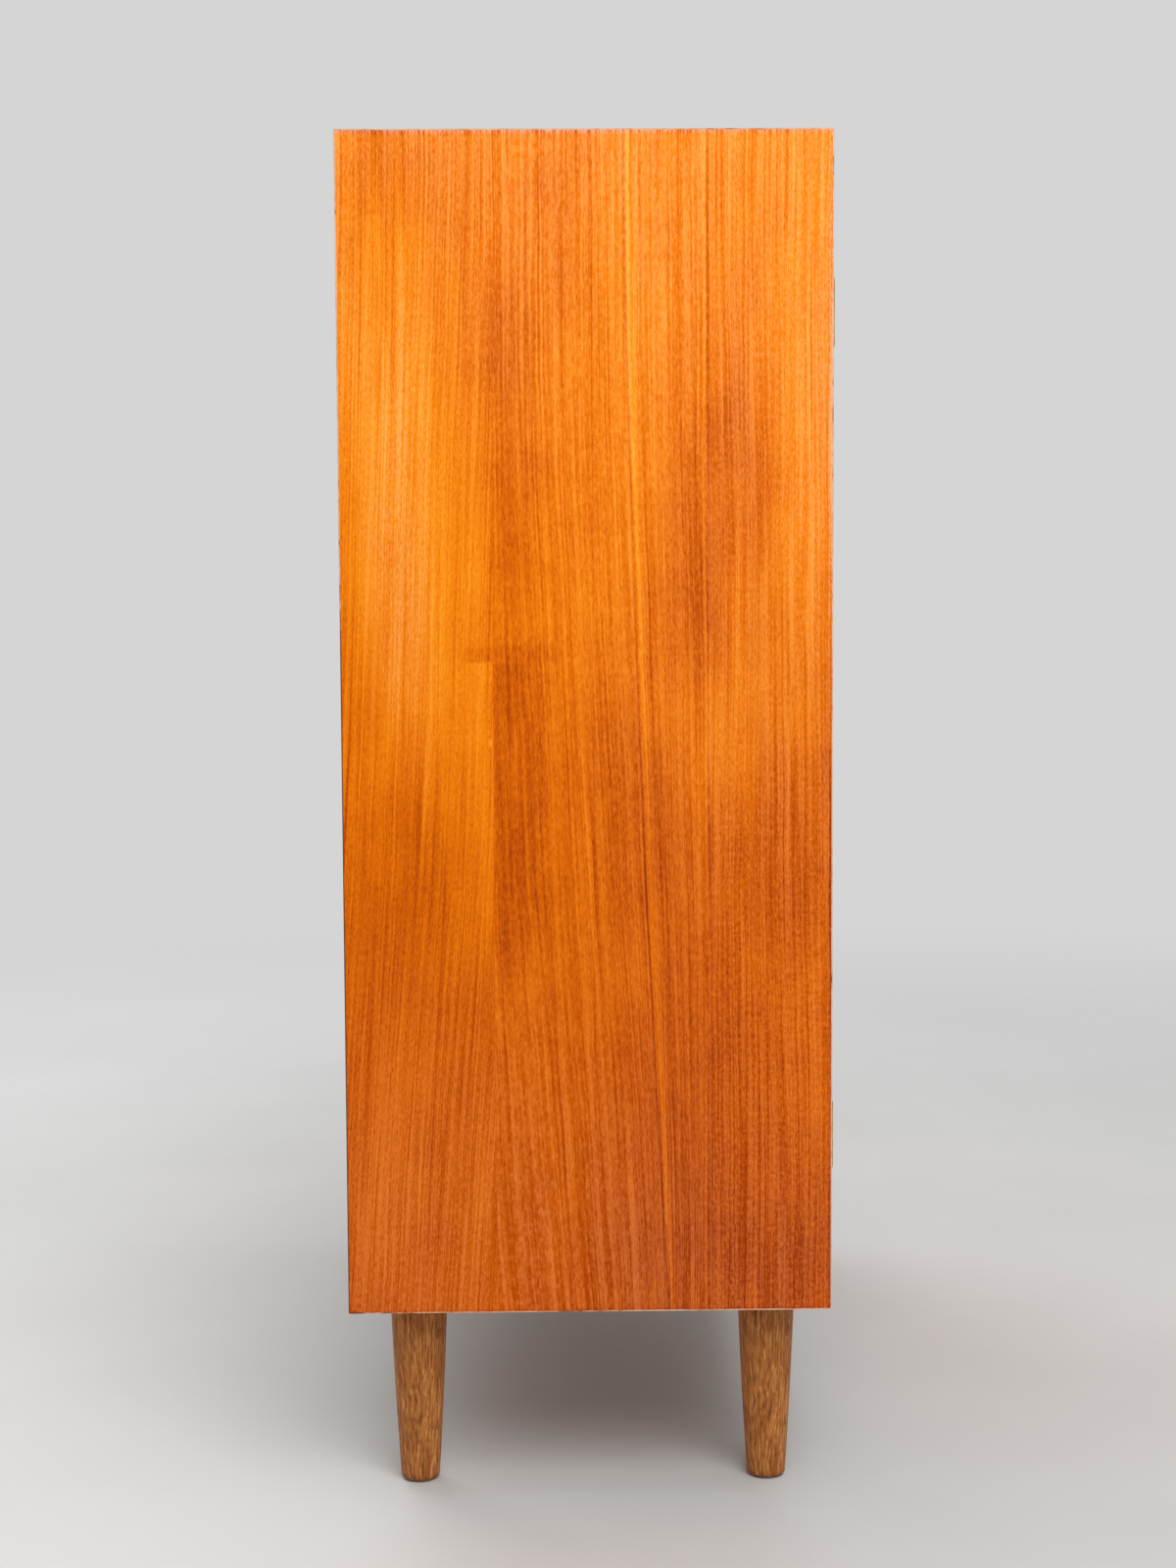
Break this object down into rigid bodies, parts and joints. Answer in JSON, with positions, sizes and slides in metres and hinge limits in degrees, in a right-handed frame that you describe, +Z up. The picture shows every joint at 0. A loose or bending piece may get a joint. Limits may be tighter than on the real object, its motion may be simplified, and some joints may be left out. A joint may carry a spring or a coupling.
{
  "type": "wardrobe with doors",
  "caption": "Two-door wardrobe on turned legs, with a hanging rail, adjustable shelves, slide bolts and a keyed door lock.",
  "frame": {"origin": "on the floor, at the centre of the footprint, the key's reach in front of the doors included", "axes": "+Z up, -Y out of the doors, +X to the right as seen from the front"},
  "size_m": [1, 0.514, 1.345],
  "materials": {
    "teak": "orange-brown straight-grained veneer under a semi-gloss clear lacquer",
    "leg_wood": "brown turned hardwood with short dark pores, satin",
    "beech": "pale turned hardwood, waxed",
    "plywood": "unfinished thin plywood",
    "brass": "aged satin brass",
    "steel": "zinc-plated fasteners"
  },
  "bodies": {
    "carcass": {"side_panel_left": "teak", "side_panel_right": "teak", "top_panel": "teak", "bottom_panel": "teak", "back_panel": "plywood", "centre_divider": "teak", "leg_front_left": "leg_wood", "leg_front_right": "leg_wood", "leg_rear_left": "leg_wood", "leg_rear_right": "leg_wood", "leg_bolt_front_left": "steel", "leg_bolt_front_right": "steel", "leg_bolt_rear_left": "steel", "leg_bolt_rear_right": "steel", "tee_nut_front_left": "steel", "tee_nut_front_right": "steel", "tee_nut_rear_left": "steel", "tee_nut_rear_right": "steel", "hinge_case_leaf_left_lower": "brass", "hinge_case_leaf_left_upper": "brass", "hinge_case_leaf_right_lower": "brass", "hinge_case_leaf_right_upper": "brass", "hinge_pin_left_lower": "brass", "hinge_pin_left_upper": "brass", "hinge_pin_right_lower": "brass", "hinge_pin_right_upper": "brass", "hanging_rail": "beech", "rail_socket_left": "brass", "rail_socket_right": "brass", "shelf_lower": "teak", "shelf_upper": "teak", "shelf_pin_lower_front_left": "brass", "shelf_pin_lower_front_right": "brass", "shelf_pin_lower_rear_left": "brass", "shelf_pin_lower_rear_right": "brass", "shelf_pin_upper_front_left": "brass", "shelf_pin_upper_front_right": "brass", "shelf_pin_upper_rear_left": "brass", "shelf_pin_upper_rear_right": "brass"},
    "left_door": {"door_left": "teak", "hinge_door_leaf_left_lower": "brass", "hinge_door_leaf_left_upper": "brass", "handle_left": "teak", "handle_screw_left_lower": "steel", "handle_screw_left_upper": "steel", "strike_plate": "brass", "slide_bolt_bracket_top": "brass", "slide_bolt_bracket_bottom": "brass"},
    "right_door": {"door_right": "teak", "hinge_door_leaf_right_lower": "brass", "hinge_door_leaf_right_upper": "brass", "handle_right": "teak", "handle_screw_right_lower": "steel", "handle_screw_right_upper": "steel", "lock_case": "brass", "escutcheon": "brass"},
    "lock_bolt": {"lock_bolt": "brass"},
    "key": {"key": "brass"},
    "top_bolt": {"slide_bolt_top": "brass"},
    "bottom_bolt": {"slide_bolt_bottom": "brass"}
  },
  "joints": [
    {"name": "left_door_hinge", "type": "hinge", "parent": "carcass", "child": "left_door", "pos_m": [-0.479, -0.2233, 0.7675], "axis": [0, 0, -1], "range_deg": [0, 175]},
    {"name": "right_door_hinge", "type": "hinge", "parent": "carcass", "child": "right_door", "pos_m": [0.479, -0.2233, 0.7675], "axis": [0, 0, 1], "range_deg": [0, 175]},
    {"name": "key_turn", "type": "hinge", "parent": "right_door", "child": "key", "pos_m": [0.025, -0.223, 0.655], "axis": [0, -1, 0], "range_deg": [0, 90]},
    {"name": "lock_bolt_slide", "type": "slide", "parent": "right_door", "child": "lock_bolt", "axis": [-1, 0, 0], "range_m": [0, 0.008]},
    {"name": "top_bolt_slide", "type": "slide", "parent": "left_door", "child": "top_bolt", "axis": [0, 0, 1], "range_m": [0, 0.012]},
    {"name": "bottom_bolt_slide", "type": "slide", "parent": "left_door", "child": "bottom_bolt", "axis": [0, 0, -1], "range_m": [0, 0.012]}
  ],
  "couplings": [
    {"joint": "key_turn", "follows": "lock_bolt_slide", "rad_per_m": 196.3}
  ]
}
